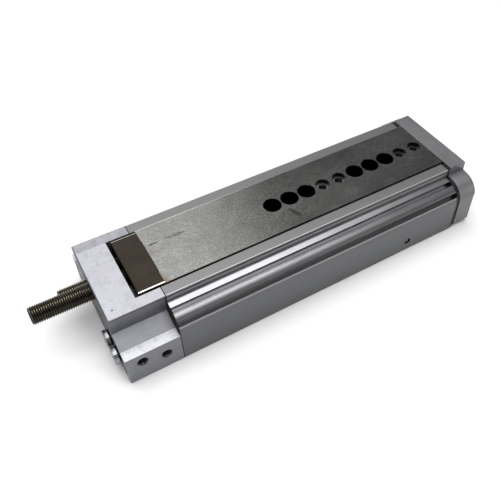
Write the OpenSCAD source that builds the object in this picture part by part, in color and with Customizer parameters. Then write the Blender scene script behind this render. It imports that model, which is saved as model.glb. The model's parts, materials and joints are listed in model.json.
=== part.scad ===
// Pneumatic slide table: an aluminium housing with a cylinder in it, a steel slide on two ball
// cages, a yoke that ties the slide to the piston rod, and two adjustable stop screws.
// Millimetres. X runs along the travel, Z is up, and the origin is the centre of the base face,
// midway between the end block's rear face and the yoke's front face.

/* [Travel] */
// Working stroke of the slide
stroke = 80; // [40:1:84]
// Forward adjustment of each stop screw
stop_adjust = 5; // [1:0.5:5]

/* [Housing] */
// Length of the extruded housing
housing_l = 161.6; // [150:0.2:240]
// Width of each rounded shoulder outside its flange
shoulder_w = 11.15; // [10.6:0.05:14]
// Height of the two top flanges
flange_z = 34.5; // [33.5:0.1:35]
// Thickness of each flange beside the slide
flange_t = 5.6; // [5.2:0.1:6]
// Height of the top of each shoulder's arc
shoulder_z = 28.7; // [28.4:0.1:29.2]
// Angle at which each shoulder falls away from its flange
shoulder_slope = 8; // [4:0.5:12]
// Radius of the rounded shoulders
shoulder_r = 9.4; // [9:0.1:10]
// Height of the channel floor
floor_z = 22; // [21.4:0.1:22.6]
// Chamfer along the bottom edges
base_chamfer = 0.6; // [0.2:0.1:1]
// Depth of the fine line rolled along the flange sides
line_depth = 0.25; // [0.1:0.05:0.4]

/* [Sensor slots] */
// Width of a slot's mouth
slot_mouth = 2.7; // [2.4:0.1:2.9]
// Width of a slot behind its lips
slot_inner = 4.2; // [3.8:0.1:4.3]
// Thickness of a slot's lips
slot_lip = 1.2; // [1:0.1:1.4]
// Depth of a slot
slot_depth = 4; // [3.6:0.1:4.1]
// Open length of a slot in front of its cover strip
slot_open = 5; // [2:0.5:12]
// Play between a cover strip and its slot
cover_play = 0.2; // [0.1:0.05:0.3]

/* [Slide] */
// Distance of the slide's rear end from the housing's rear face
slide_setback = 2.5; // [1:0.1:6]
// Width of the slide rail
slide_w = 36.6; // [36:0.2:38]
// Height of the slide's top face above the base
slide_z = 35; // [34.7:0.1:36]
// Height of the slide's underside
slide_under_z = 23.8; // [23.6:0.1:24.4]
// Gap between the slide and each flange
slide_gap = 0.35; // [0.25:0.05:0.5]
// Distance between the holes along the slide
hole_pitch = 10; // [9.5:0.25:11]
// Distance from the yoke to the nearest hole
first_hole = 5.5; // [5:0.5:8]
// Diameter of the access holes
access_d = 9; // [8:0.1:9.2]
// Diameter of the centring recesses
centring_d = 7; // [6:0.1:8]
// Depth of the centring recesses
centring_h = 2.1; // [1:0.1:3]
// Core diameter of the M5 threads
m5_core_d = 4.2; // [4:0.1:4.6]
// Diameter of the countersink at the mouth of an M5 thread
m5_mouth_d = 5.4; // [5:0.1:5.8]

/* [Ball guide] */
// Diameter of the guide balls
ball_d = 3; // [2.6:0.1:3.1]
// Distance between the balls
ball_pitch = 5; // [4:0.25:8]
// Height of the balls' centre line
ball_z = 28; // [27.8:0.1:28.4]
// Running clearance of a ball in its groove
ball_play = 0.04; // [0.02:0.01:0.08]
// Depth by which the guide faces are set back from the gap
guide_recess = 0.5; // [0.45:0.05:0.6]
// Height of the raceway strips
race_h = 6.8; // [6:0.1:7]
// Depth of the raceway strips' pockets in the flanges
race_depth = 3.2; // [3:0.1:3.4]
// Thickness of the ball cages
cage_t = 0.7; // [0.6:0.05:0.8]
// Height of the ball cages
cage_h = 4.4; // [4:0.1:5]
// Distance that a cage stays inside the slide and raceway ends
cage_margin = 1.1; // [0.5:0.1:2]

/* [End block] */
// Length of the rear end block
block_l = 26; // [24.5:0.1:30]
// Height of the ledges at its sides
ledge_z = 18; // [17.4:0.1:18.4]
// Width of each ledge
ledge_w = 5.3; // [4.8:0.1:6]
// Distance by which its upper walls lean in
wall_lean = 2; // [1.6:0.1:2.4]
// Height of the foot of those walls
waist_z = 22.2; // [21.8:0.1:22.6]
// Thickness of the gasket between block and housing
gasket_t = 0.4; // [0.3:0.1:0.8]
// Gap between the pocket's rear wall and the tail plate
pocket_gap = 1.9; // [1.6:0.1:3]
// Side play of the slide in the pocket
pocket_play = 0; // [0:0.05:0.4]

/* [Tail plate] */
// Length of the tail plate behind the slide
tail_l = 12.5; // [10:0.1:13]
// Set-back of the tail plate's sides from the slide's
tail_inset = 0.7; // [0.5:0.1:1.2]
// Height of its top face
tail_z = 34.8; // [34.2:0.1:35]
// Clearance between the tail plate and the channel floor
tail_clear = 0.6; // [0.4:0.1:1]
// Width of the shallow slope along its side edges
tail_edge_w = 0.8; // [0.4:0.1:1.2]
// Drop of that slope
tail_edge_h = 0.3; // [0.1:0.05:0.5]

/* [Stop screws] */
// Diameter over the stop screws' threads
stop_d = 8.8; // [8:0.1:9]
// Running clearance of the stop screws in the block
stop_play = 0.04; // [0.02:0.01:0.08]
// Place of the retract stop across the table
retract_y = 2; // [1:0.1:2.4]
// Height of the retract stop
retract_z = 26; // [25.8:0.1:26.6]
// Length of the retract stop outside the block
retract_out = 27.5; // [15:0.5:40]
// Distance of the advance stop's axis from the slide's side
advance_inset = 6.8; // [6.4:0.1:7.2]
// Height of the advance stop
advance_z = 18; // [17.6:0.1:18.2]
// Length of the advance stop outside the block
advance_out = 13.5; // [8:0.5:30]
// Threaded length of the advance stop inside the block
advance_thread = 9.4; // [7:0.1:9.4]
// Diameter of its shank
shank_d = 6; // [5:0.1:6.2]
// Diameter of its head
head_d = 10.4; // [9.8:0.1:10.6]
// Length of its head
head_l = 8; // [5:0.5:12]
// Thickness of the elastomer bumpers
bumper_t = 1.6; // [1:0.1:2]
// Gap left at a stop's contact face
contact_gap = 0.05; // [0.02:0.01:0.1]
// Width across flats of the stop screws' sockets
socket_af = 4; // [3:0.5:5]

/* [Cylinder] */
// Bore of the cylinder
bore_d = 16; // [15:0.1:16.4]
// Distance of the bore's axis from the near side wall
bore_inset = 18.4; // [18:0.1:19]
// Height of the bore
bore_z = 11.5; // [11:0.1:11.8]
// Diameter of the piston rod
rod_d = 8; // [6:0.1:8.4]
// Running clearance of the rod in its gland
rod_play = 0.03; // [0.02:0.01:0.08]
// Length of the piston
piston_l = 20; // [18:0.5:24]
// Radial clearance of the piston in the bore
piston_play = 0.15; // [0.1:0.01:0.25]
// Length of the rod gland
gland_l = 19; // [14:0.5:22]
// Diameter of the air passages
passage_d = 2.2; // [1.8:0.1:2.3]

/* [Ports] */
// Distance of the rear side port from the end block's rear face
port_a_x = 7.5; // [7.3:0.1:9.5]
// Height of the rear side port
port_a_z = 12.4; // [12.4:0.1:13]
// Distance of the front side port from the end block's rear face
port_b_x = 18.6; // [18:0.1:19.5]
// Height of the front side port
port_b_z = 9.8; // [9.4:0.1:10]
// Depth of the port threads
port_depth = 5.6; // [5:0.1:6]
// Diameter of the blanking plugs' heads
plug_head_d = 8.8; // [8:0.1:9]
// Height of the blanking plugs' heads
plug_head_h = 2.4; // [1.6:0.1:3]
// Distance of the front cross passage from the housing's front face
cross_back = 31.7; // [29:0.1:46]

/* [Yoke] */
// Thickness of the yoke plate
yoke_t = 10.5; // [10:0.1:14]
// Overhang of the yoke plate beyond each side wall
yoke_over = 0.3; // [0:0.05:1]
// Difference between the width over the flanges and the yoke's top
yoke_top_less = 0.8; // [0:0.1:2]
// Height of the yoke's underside above the base
yoke_under = 1; // [0.5:0.1:2]
// Radius of the yoke's bottom corners
yoke_corner_r = 2.5; // [1:0.1:4]
// Chamfer of the yoke's straight front edges
yoke_chamfer = 0.5; // [0.3:0.1:1]
// Gap between the front cover and the yoke
yoke_gap = 0.3; // [0.2:0.05:1]
// Thickness of the front cover
cover_t = 1.2; // [1:0.1:1.4]

/* [Hidden] */
$fn = 64;

// Overrun of a cutting tool past the face that it opens
over = 1;
// Gap left between loose pieces of one body
seat_gap = 0.1;

// Widths
channel_y = slide_w / 2 + slide_gap;
flange_w = 2 * (channel_y + flange_t);
housing_w = flange_w + 2 * shoulder_w;
// How far the slope of a shoulder starts inside its arc, and the height at which it meets the flange
slope_sink = 0.02;
shoulder_foot_z = shoulder_z - shoulder_r * (1 - cos(shoulder_slope))
    + (shoulder_w - shoulder_r * (1 - sin(shoulder_slope))) * tan(shoulder_slope);
yoke_w = housing_w + 2 * yoke_over;

// Stations along X
total_l = block_l + gasket_t + housing_l + cover_t + yoke_gap + yoke_t;
x_rear = -total_l / 2;
x_gasket = x_rear + block_l;
x_housing = x_gasket + gasket_t;
x_front = x_housing + housing_l;
x_yoke = x_front + cover_t + yoke_gap;
x_tip = x_yoke + yoke_t;
x_slide = x_housing + slide_setback;
x_tail = x_slide - tail_l;
x_pocket = x_tail - pocket_gap;

// Channel, guide and trough
race_back = channel_y + race_depth;
guide_y = slide_w / 2 + slide_gap / 2;
groove_apex = (ball_d / 2 + ball_play) * sqrt(2);
slide_face_y = slide_w / 2 - guide_recess;
race_face_y = channel_y + guide_recess;
race_margin_rear = 4;
race_margin_front = 1;
x_race = x_housing + race_margin_rear;
race_l = housing_l - race_margin_rear - race_margin_front;
x_cage = x_slide + stroke / 2 + cage_margin;
cage_l = x_race + race_l - 2 * cage_margin - x_cage - stroke / 2;
ball_count = floor((cage_l - ball_pitch) / ball_pitch) + 1;
x_ball = x_cage + (cage_l - (ball_count - 1) * ball_pitch) / 2;
tail_w = slide_w - 2 * tail_inset;
trough_r = head_d / 2 + tail_clear;
dog_r = head_d / 2;

// Stops
advance_y = slide_w / 2 - advance_inset;
x_retract_end = x_tail - contact_gap;
x_advance_contact = x_slide + stroke + contact_gap;
x_advance_head = x_advance_contact + bumper_t;
x_advance_tip = x_advance_head + head_l;
bumper_seat = 1;
head_room = 2;
clamp_back = 8;
clamp_x = x_rear + clamp_back;
clamp_d = 4;
clamp_l = 8;

// Holes along the slide, counted from the yoke: true is an access hole
access_row = [false, false, true, true, true, false, false, true, true, true];
x_first_hole = x_yoke - first_hole;

// Housing fixing holes lie every five slide holes from the fifth on, and keep clear of the housing's rear end
fixing_step = 5;
fixing_margin = 12;
fixing_rear = x_housing + fixing_margin;
fixing_x = [
    for (i = [fixing_step - 1 : fixing_step : (x_first_hole - fixing_rear) / hole_pitch])
        x_first_hole - i * hole_pitch
];
fixing_core_d = 5.1;
fixing_counterbore_d = 9;
fixing_seat_z = 8;
base_centring_d = 9;

// Fasteners
m3_d = 3;
m3_head_d = 5.5;
m3_head_h = 3;
m3_screw_l = 32;
m4_d = 4;
m4_head_d = 7;
m4_head_h = 4;
m5_d = 5;
m5_head_d = 8.5;
m5_head_h = 5;
screw_play = 0.2;
head_play = 0.15;
cover_screw_d = 2.5;
cover_screw_head_d = 4.4;
cover_screw_l = 6;
block_screw_inset = [8.8, 3.7];
block_screw_z = [16, 3.8];
block_screw_yz = [for (i = [0, 1]) [housing_w / 2 - block_screw_inset[i], block_screw_z[i]]];
x_m3_seat = x_rear + m3_head_h + screw_play;
cover_screw_inset = [9.3, 4.8];
cover_screw_z = [17.5, 4.5];
cover_screw_yz = [for (i = [0, 1]) [housing_w / 2 - cover_screw_inset[i], cover_screw_z[i]]];

// Slots: [polar angle on the shoulder, tilt of the slot]
slot_upper = [15, 15];
slot_lower = [58, 45];
rib_line_angle = 26.5;
rib_line_r = 0.22;
x_strip_end = x_front - slot_open;
// Fine line along the flange sides: its height and its drop below the top
line_h = 0.35;
line_drop = 2.1;

// Yoke, slide and tail fixings
yoke_screw_inset = 7.3;
yoke_screw_y = slide_w / 2 - yoke_screw_inset;
fixing_z = 29.4;
yoke_screw_l = 16;
dowel_spacing = 6.5;
dowel_y = yoke_screw_y - dowel_spacing;
dowel_d = 3;
dowel_l = 12;
tail_screw_inset = 6.3;
tail_screw_y = slide_w / 2 - tail_screw_inset;
tail_screw_l = 14;
x_m4_seat = x_tail + m4_head_h + screw_play;
x_m5_seat = x_tip - m5_head_h - screw_play;
front_thread_inset = 10.7;
front_thread_y = yoke_w / 2 - front_thread_inset;
front_thread_z = [7, 19];
front_thread_depth = 8;

// Cylinder stations
bore_y = bore_inset - housing_w / 2;
piston_gap = 4;
x_piston = x_housing + piston_gap;
x_piston_front = x_piston + piston_l;
ring_t = 1;
ring_setback = 1.2;
x_gland_end = x_front - ring_setback - ring_t;
x_gland = x_gland_end - gland_l;
ring_x = x_gland + gland_l / 3;
ring_groove_w = 2.2;
ring_groove_d = 1.7;
rod_seal_d = 12.4;
rod_seal_l = 3;
rod_tenon = 2.5;
rod_tapped = 16;
spigot_d = 5;
nut_h = 2.7;
nut_af = 8;
rear_bumper_t = 1;
gallery_inset = 6.2;
gallery_y = gallery_inset - housing_w / 2;
gallery_z = 7;
x_cross = x_front - cross_back;
passage_ball_d = 3;
plug_z = 11;
plug_offset = [2, -8];
plug_yz = [for (offset = plug_offset) [bore_y + offset, plug_z]];
plug_depth = 5;
plug_seal_t = 0.6;

// Extrudes a Y-Z outline from x0 to x1
module along_x(x0, x1) {
    translate([x0, 0, 0]) rotate([90, 0, 90]) linear_extrude(x1 - x0) children();
}

// A round bar along X
module bar_x(x0, x1, y, z, d, sides = 64) {
    translate([x0, y, z]) rotate([0, 90, 0]) cylinder(d = d, h = x1 - x0, $fn = sides);
}

// A round bar along Z
module bar_z(x, y, z0, z1, d) {
    translate([x, y, z0]) cylinder(d = d, h = z1 - z0);
}

// A round bar from the near side wall inwards to y1
module side_bar(x, z, y0, y1, d) {
    translate([x, y1, z]) rotate([90, 0, 0]) cylinder(d = d, h = y1 - y0);
}

// A 45 degree countersink for a tapped hole, open towards -Z at the origin
module thread_mouth() {
    drop = (m5_mouth_d - m5_core_d) / 2;
    translate([0, 0, -over]) cylinder(d1 = m5_mouth_d + 2 * over, d2 = m5_core_d, h = drop + over);
}

// A hexagonal socket along X
module hex_x(x0, x1, y, z, af) {
    bar_x(x0, x1, y, z, af / cos(30), 6);
}

// A 45 degree cutter along Y, centred on the edge at (x, z)
module edge_cut_y(x, z, size, length) {
    translate([x, 0, z]) rotate([0, 45, 0])
        cube([size * sqrt(2), length, size * sqrt(2)], center = true);
}

// A 45 degree cutter along Z, centred on the edge at (x, y)
module edge_cut_z(x, y, size, length) {
    translate([x, y, 0]) rotate([0, 0, 45])
        translate([0, 0, length / 2])
            cube([size * sqrt(2), size * sqrt(2), length + 2 * over], center = true);
}

// A 45 degree cutter along X, centred on the edge at (y, z)
module edge_cut_x(x0, x1, y, z, size) {
    side = size * sqrt(2);
    translate([x0, y, z]) rotate([45, 0, 0])
        translate([0, -side / 2, -side / 2]) cube([x1 - x0, side, side]);
}

// A socket head screw along X with its head at the rear, its seat at x
module cap_screw_rear(x, y, z, d, head_d, head_h, l, af) {
    difference() {
        union() {
            bar_x(x - head_h, x, y, z, head_d);
            bar_x(x, x + l, y, z, d);
        }
        hex_x(x - head_h - over, x - head_h / 2, y, z, af);
    }
}

// The same screw turned round, with its head at the front
module cap_screw_front(x, y, z, d, head_d, head_h, l, af) {
    translate([x, y, z]) rotate([0, 0, 180]) cap_screw_rear(0, 0, 0, d, head_d, head_h, l, af);
}

// Outline shared by housing, cover and yoke: flat top, sloping shoulders with an arc, straight sides
module shouldered_outline(w, top_w, top_z, r) {
    shoulder_cy = w / 2 - r;
    shoulder_cz = shoulder_z - shoulder_r;
    slope_y = shoulder_cy + (r - slope_sink) * sin(shoulder_slope);
    slope_z = shoulder_cz + (r - slope_sink) * cos(shoulder_slope);
    foot_z = slope_z + (slope_y - top_w / 2) * tan(shoulder_slope);
    translate([-top_w / 2, 0]) square([top_w, top_z]);
    translate([-w / 2, 0]) square([w, shoulder_cz]);
    for (side = [0, 1]) mirror([side, 0]) {
        translate([shoulder_cy, shoulder_cz]) circle(r = r);
        polygon([[0, 0], [slope_y, 0], [slope_y, slope_z], [top_w / 2, foot_z], [0, foot_z]]);
    }
}

// Place on the right-hand shoulder at a polar angle, turned outwards by tilt
module on_shoulder(angle, tilt) {
    centre = [housing_w / 2 - shoulder_r, shoulder_z - shoulder_r];
    translate(centre + shoulder_r * [sin(angle), cos(angle)]) rotate(-tilt) children();
}

module slot_outline() {
    translate([-slot_mouth / 2, -slot_lip - over / 2]) square([slot_mouth, slot_lip + 2 * over]);
    translate([-slot_inner / 2, -slot_depth]) square([slot_inner, slot_depth - slot_lip]);
}

// Cover strip: a crowned face between the lips and a flange behind them
module strip_outline() {
    neck_w = slot_mouth - 2 * cover_play;
    flange_inner_w = slot_inner - 2 * cover_play;
    crown_top = -0.35;
    flange_top = -slot_lip - seat_gap;
    flange_t = 1.1;
    crown_r = 2.4;
    intersection() {
        translate([-neck_w / 2, flange_top - flange_t / 2])
            square([neck_w, crown_top - flange_top + flange_t / 2]);
        translate([0, crown_top - crown_r]) circle(r = crown_r);
    }
    translate([-flange_inner_w / 2, flange_top - flange_t]) square([flange_inner_w, flange_t]);
}

module both_sides() {
    children();
    mirror([1, 0]) children();
}

// Fine line and foot relief along a flange's side
module flange_lines() {
    relief_h = 1;
    relief_d = 0.35;
    translate([flange_w / 2 - line_depth, flange_z - line_drop]) square([line_depth + over, line_h]);
    translate([flange_w / 2 - relief_d, shoulder_foot_z]) square([relief_d, relief_h]);
}

module channel_outline() {
    translate([-channel_y, floor_z]) square([2 * channel_y, slide_z]);
}

module trough_outline() {
    translate([advance_y, advance_z]) circle(r = trough_r);
    translate([advance_y - trough_r, advance_z]) square([2 * trough_r, floor_z - advance_z + over]);
}

module race_pocket_outline() {
    translate([channel_y - over, ball_z - race_h / 2])
        square([race_back - channel_y + over, race_h]);
}

module base_chamfers(w) {
    for (side = [-1, 1]) translate([side * w / 2, 0]) rotate(45)
        square(base_chamfer * sqrt(2), center = true);
}

module housing_section() {
    difference() {
        shouldered_outline(housing_w, flange_w, flange_z, shoulder_r);
        channel_outline();
        base_chamfers(housing_w);
        both_sides() {
            on_shoulder(slot_upper[0], slot_upper[1]) slot_outline();
            on_shoulder(slot_lower[0], slot_lower[1]) slot_outline();
            on_shoulder(rib_line_angle, rib_line_angle) circle(r = rib_line_r, $fn = 16);
            flange_lines();
        }
    }
}

module fixing_holes() {
    for (x = fixing_x) {
        bar_z(x, 0, -over, floor_z + over, fixing_core_d);
        bar_z(x, 0, fixing_seat_z, floor_z + over, fixing_counterbore_d);
    }
    for (x = [fixing_x[0], fixing_x[len(fixing_x) - 1]]) bar_z(x, 0, -over, centring_h, base_centring_d);
}

module housing() {
    color("lightsteelblue") difference() {
        along_x(x_housing, x_front) housing_section();
        along_x(x_race, x_race + race_l) both_sides() race_pocket_outline();
        along_x(x_housing - over, x_advance_tip + stop_adjust + head_room) trough_outline();
        bar_x(x_housing - over, x_front + over, bore_y, bore_z, bore_d);
        bar_x(x_gland_end, x_gland_end + ring_t, bore_y, bore_z, bore_d + 2 * ring_t);
        bar_x(x_housing - over, x_cross, gallery_y, gallery_z, passage_d);
        side_bar(x_cross, gallery_z, -housing_w / 2 - over, bore_y, passage_d);
        side_bar(x_cross, gallery_z, -housing_w / 2 - over, -housing_w / 2 + passage_ball_d, passage_ball_d);
        fixing_holes();
        for (yz = block_screw_yz) for (side = [-1, 1])
            bar_x(x_housing - over, x_m3_seat + m3_screw_l + over, side * yz[0], yz[1], m3_d);
        for (yz = cover_screw_yz) for (side = [-1, 1])
            bar_x(x_front - cover_screw_l, x_front + over, side * yz[0], yz[1], cover_screw_d);
    }
}

// Raceway strip with its V groove facing the slide, for the right-hand side
module race_outline() {
    difference() {
        translate([race_face_y, ball_z - race_h / 2]) square([race_back - race_face_y, race_h]);
        translate([guide_y, ball_z]) rotate(45) square(groove_apex * sqrt(2), center = true);
    }
}

module raceway(side) {
    color("dimgray") along_x(x_race, x_race + race_l)
        if (side > 0) race_outline(); else mirror([1, 0]) race_outline();
}

module slot_strip(side, slot) {
    color("gray") along_x(x_housing + seat_gap, x_strip_end)
        if (side > 0) on_shoulder(slot[0], slot[1]) strip_outline();
        else mirror([1, 0]) on_shoulder(slot[0], slot[1]) strip_outline();
}

// End block outline: flat top, walls that lean in, sloping waist, side ledges
module block_outline() {
    half_w = housing_w / 2;
    waist_y = flange_w / 2 - wall_lean;
    ledge_y = half_w - ledge_w;
    half = [
        [half_w, 0], [half_w, ledge_z], [ledge_y, ledge_z],
        [waist_y, waist_z], [flange_w / 2, flange_z]
    ];
    difference() {
        polygon(concat(half, [for (i = [len(half) - 1 : -1 : 0]) [-half[i][0], half[i][1]]]));
        base_chamfers(housing_w);
        both_sides() translate([flange_w / 2 - line_depth, flange_z - line_drop]) square([over, line_h]);
    }
}

module air_passages() {
    port_a = [x_rear + port_a_x, port_a_z];
    port_b = [x_rear + port_b_x, port_b_z];
    wall_y = -housing_w / 2;
    for (p = [port_a, port_b]) {
        side_bar(p[0], p[1], wall_y - over, wall_y + port_depth, m5_core_d);
        translate([p[0], wall_y, p[1]]) rotate([-90, 0, 0]) thread_mouth();
    }
    side_bar(port_a[0], port_a[1], wall_y, plug_yz[0][0], passage_d);
    side_bar(port_b[0], port_b[1], wall_y, plug_yz[1][0], passage_d);
    for (yz = plug_yz) bar_x(x_rear - over, x_rear + plug_depth, yz[0], yz[1], m5_core_d);
    bar_x(x_rear, port_a[0], plug_yz[0][0], plug_yz[0][1], passage_d);
    bar_x(x_rear, port_b[0], plug_yz[1][0], port_b_z, passage_d);
    bar_x(port_a[0], x_gasket + over, plug_yz[0][0], plug_yz[0][1], passage_d);
    bar_x(port_b[0], x_gasket + over, gallery_y, gallery_z, passage_d);
}

module end_block() {
    pocket_y = channel_y + pocket_play;
    edge_chamfer = 0.4;
    color("gainsboro") difference() {
        along_x(x_rear, x_gasket) block_outline();
        along_x(x_pocket, x_gasket + over) {
            translate([-pocket_y, floor_z]) square([2 * pocket_y, slide_z]);
            trough_outline();
        }
        bar_x(x_rear - over, x_gasket, retract_y, retract_z, stop_d + 2 * stop_play);
        bar_x(x_rear - over, x_gasket, advance_y, advance_z, stop_d + 2 * stop_play);
        bar_z(clamp_x, retract_y, -over, retract_z, clamp_d);
        bar_z(clamp_x, advance_y, -over, advance_z, clamp_d);
        air_passages();
        for (yz = block_screw_yz) for (side = [-1, 1]) {
            bar_x(x_rear - over, x_gasket + over, side * yz[0], yz[1], m3_d + 2 * screw_play);
            bar_x(x_rear - over, x_m3_seat, side * yz[0], yz[1], m3_head_d + 2 * head_play);
        }
        edge_cut_y(x_rear, flange_z, edge_chamfer, housing_w);
        for (side = [-1, 1]) edge_cut_z(x_rear, side * housing_w / 2, edge_chamfer, ledge_z);
    }
}

module end_block_gasket() {
    hole_margin = 0.3;
    color("black") difference() {
        along_x(x_gasket, x_housing) difference() {
            shouldered_outline(housing_w, flange_w, flange_z, shoulder_r);
            base_chamfers(housing_w);
            channel_outline();
            trough_outline();
            translate([bore_y, bore_z]) circle(d = bore_d - 2 * hole_margin);
            translate([gallery_y, gallery_z]) circle(d = passage_d + 2 * hole_margin);
            for (yz = block_screw_yz) for (side = [-1, 1])
                translate([side * yz[0], yz[1]]) circle(d = m3_d + 2 * screw_play);
        }
    }
}

module end_block_screws() {
    color("silver") for (yz = block_screw_yz) for (side = [-1, 1])
        cap_screw_rear(x_m3_seat, side * yz[0], yz[1],
            m3_d, m3_head_d, m3_head_h, m3_screw_l - screw_play, 2.5);
}

// Blanking plug: knurled round head with a socket, a seal under it and a threaded stem
module port_plugs() {
    color("silver") for (yz = plug_yz) difference() {
        union() {
            bar_x(x_rear - plug_seal_t - plug_head_h, x_rear - plug_seal_t, yz[0], yz[1], plug_head_d);
            bar_x(x_rear - plug_seal_t, x_rear + plug_depth - seat_gap, yz[0], yz[1], m5_core_d);
        }
        hex_x(x_rear - plug_seal_t - plug_head_h - over, x_rear, yz[0], yz[1], 2.5);
    }
}

module port_plug_seals() {
    color("black") for (yz = plug_yz) difference() {
        bar_x(x_rear - plug_seal_t, x_rear, yz[0], yz[1], plug_head_d - 1.2);
        bar_x(x_rear - plug_seal_t - over, x_rear + over, yz[0], yz[1], m5_core_d);
    }
}

// Steel ball driven into the mouth of the cross passage
module passage_ball() {
    color("dimgray") translate([x_cross, -housing_w / 2 + passage_ball_d / 2 + 2 * seat_gap, gallery_z])
        sphere(d = passage_ball_d - 0.02);
}

module stop_clamp_screws() {
    tip_gap = 0.1;
    color("dimgray") for (stop = [[retract_y, retract_z], [advance_y, advance_z]]) {
        z_tip = stop[1] - stop_d / 2 - tip_gap;
        difference() {
            bar_z(clamp_x, stop[0], z_tip - clamp_l, z_tip, clamp_d);
            translate([clamp_x, stop[0], z_tip - clamp_l - over])
                cylinder(d = 2 / cos(30), h = over + clamp_l / 3, $fn = 6);
        }
    }
}

// Elastomer disc that softens the piston's return against the end block
module rear_bumper() {
    color("black") difference() {
        bar_x(x_housing, x_housing + rear_bumper_t, bore_y, bore_z, bore_d - 1);
        bar_x(x_housing - over, x_housing + rear_bumper_t + over, bore_y, bore_z, nut_af / cos(30) + over);
    }
}

// Gland bush in the front of the bore, with a groove for its O ring and a seat for the rod seal
module rod_gland() {
    color("burlywood") difference() {
        bar_x(x_gland, x_gland_end, bore_y, bore_z, bore_d);
        bar_x(x_gland - over, x_gland_end + over, bore_y, bore_z, rod_d + 2 * rod_play);
        bar_x(x_gland_end - rod_seal_l, x_gland_end + over, bore_y, bore_z, rod_seal_d);
        difference() {
            bar_x(ring_x, ring_x + ring_groove_w, bore_y, bore_z, bore_d + over);
            bar_x(ring_x - over, ring_x + ring_groove_w + over,
                bore_y, bore_z, bore_d - 2 * ring_groove_d);
        }
    }
}

module gland_o_ring() {
    section_d = ring_groove_d - 0.05;
    color("black") translate([ring_x + ring_groove_w / 2, bore_y, bore_z]) rotate([0, 90, 0])
        rotate_extrude() translate([bore_d / 2 - section_d / 2 - 0.02, 0]) circle(d = section_d);
}

module rod_seal() {
    lip = 0.8;
    x_seal = x_gland_end - rod_seal_l;
    color("darkgreen") difference() {
        bar_x(x_seal, x_gland_end, bore_y, bore_z, rod_seal_d);
        bar_x(x_seal - over, x_gland_end + over, bore_y, bore_z, rod_d + 2 * rod_play);
        bar_x(x_seal - over, x_seal + lip, bore_y, bore_z, rod_d + 2 * lip);
    }
}

// Internal snap ring in the front of the bore, open at the bottom
module gland_retaining_ring() {
    ring_w = 2.2;
    mouth_w = 5;
    color("dimgray") difference() {
        bar_x(x_gland_end, x_gland_end + ring_t, bore_y, bore_z, bore_d + 2 * ring_t - seat_gap);
        bar_x(x_gland_end - over, x_gland_end + ring_t + over,
            bore_y, bore_z, bore_d + 2 * ring_t - 2 * ring_w);
        translate([x_gland_end - over, bore_y - mouth_w / 2, bore_z - bore_d])
            cube([ring_t + 2 * over, mouth_w, bore_d]);
    }
}

// Black plastic cover on the housing's front, open where the slide passes
module front_cover() {
    inset = 0.3;
    color("black") difference() {
        along_x(x_front, x_front + cover_t) difference() {
            shouldered_outline(housing_w - 2 * inset, flange_w - 2 * inset,
                flange_z - inset, shoulder_r - inset);
            channel_outline();
            translate([bore_y, bore_z]) circle(d = rod_d + 4 * inset);
            base_chamfers(housing_w - 2 * inset);
        }
        for (yz = cover_screw_yz) for (side = [-1, 1]) {
            bar_x(x_front - over, x_front + cover_t + over,
                side * yz[0], yz[1], cover_screw_d + screw_play);
            cover_screw_head(side * yz[0], yz[1], screw_play);
        }
    }
}

// Countersunk head, widest at the cover's front face
module cover_screw_head(y, z, play) {
    translate([x_front + cover_t - 1, y, z]) rotate([0, 90, 0])
        cylinder(d1 = cover_screw_d + play, d2 = cover_screw_head_d + play, h = 1);
}

module front_cover_screws() {
    color("dimgray") for (yz = cover_screw_yz) for (side = [-1, 1]) difference() {
        union() {
            cover_screw_head(side * yz[0], yz[1], 0);
            bar_x(x_front + cover_t - cover_screw_l, x_front + cover_t - 0.5,
                side * yz[0], yz[1], cover_screw_d);
        }
        hex_x(x_front + cover_t - 0.8, x_front + cover_t + over, side * yz[0], yz[1], 1.5);
    }
}

// Slide rail: flat steel bar with V grooves in its recessed sides
module slide_section() {
    difference() {
        translate([-slide_w / 2, slide_under_z]) square([slide_w, slide_z - slide_under_z]);
        both_sides() {
            translate([slide_face_y, ball_z - race_h / 2]) square([guide_recess + over, race_h]);
            translate([guide_y, ball_z]) rotate(45) square(groove_apex * sqrt(2), center = true);
            translate([slide_w / 2, slide_under_z]) rotate(45) square(1, center = true);
        }
    }
}

module slide_holes() {
    rim = 0.25;
    for (i = [0 : len(access_row) - 1]) {
        x = x_first_hole - i * hole_pitch;
        d = access_row[i] ? access_d : centring_d;
        bar_z(x, 0, slide_under_z - over, slide_z + over, access_row[i] ? access_d : m5_core_d);
        bar_z(x, 0, slide_z - centring_h, slide_z + over, d);
        translate([x, 0, slide_z - rim]) cylinder(d1 = d, d2 = d + 2 * rim + 0.02, h = rim + 0.01);
    }
}

module slide_rail() {
    end_chamfer = 0.3;
    color("darkgray") difference() {
        along_x(x_slide, x_yoke) slide_section();
        slide_holes();
        for (side = [-1, 1]) {
            bar_x(x_yoke - yoke_screw_l, x_yoke + over, side * yoke_screw_y, fixing_z, m5_d);
            bar_x(x_yoke - dowel_l, x_yoke + over, side * dowel_y, fixing_z, dowel_d);
            bar_x(x_slide - over, x_slide + tail_screw_l, side * tail_screw_y, fixing_z, m4_d);
            edge_cut_x(x_slide - over, x_yoke + over, side * slide_w / 2, slide_z, end_chamfer);
        }
        edge_cut_y(x_slide, slide_z, end_chamfer, slide_w + over);
    }
}

// Tail plate: closes the slide's rear end and carries the dog that meets the advance stop
module tail_outline() {
    half_w = tail_w / 2;
    half = [[half_w, floor_z + tail_clear], [half_w, tail_z - tail_edge_h], [half_w - tail_edge_w, tail_z]];
    polygon(concat(half, [for (i = [len(half) - 1 : -1 : 0]) [-half[i][0], half[i][1]]]));
    translate([advance_y, advance_z]) circle(r = dog_r);
    translate([advance_y - dog_r, advance_z])
        square([2 * dog_r, floor_z + tail_clear - advance_z + over]);
}

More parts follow.
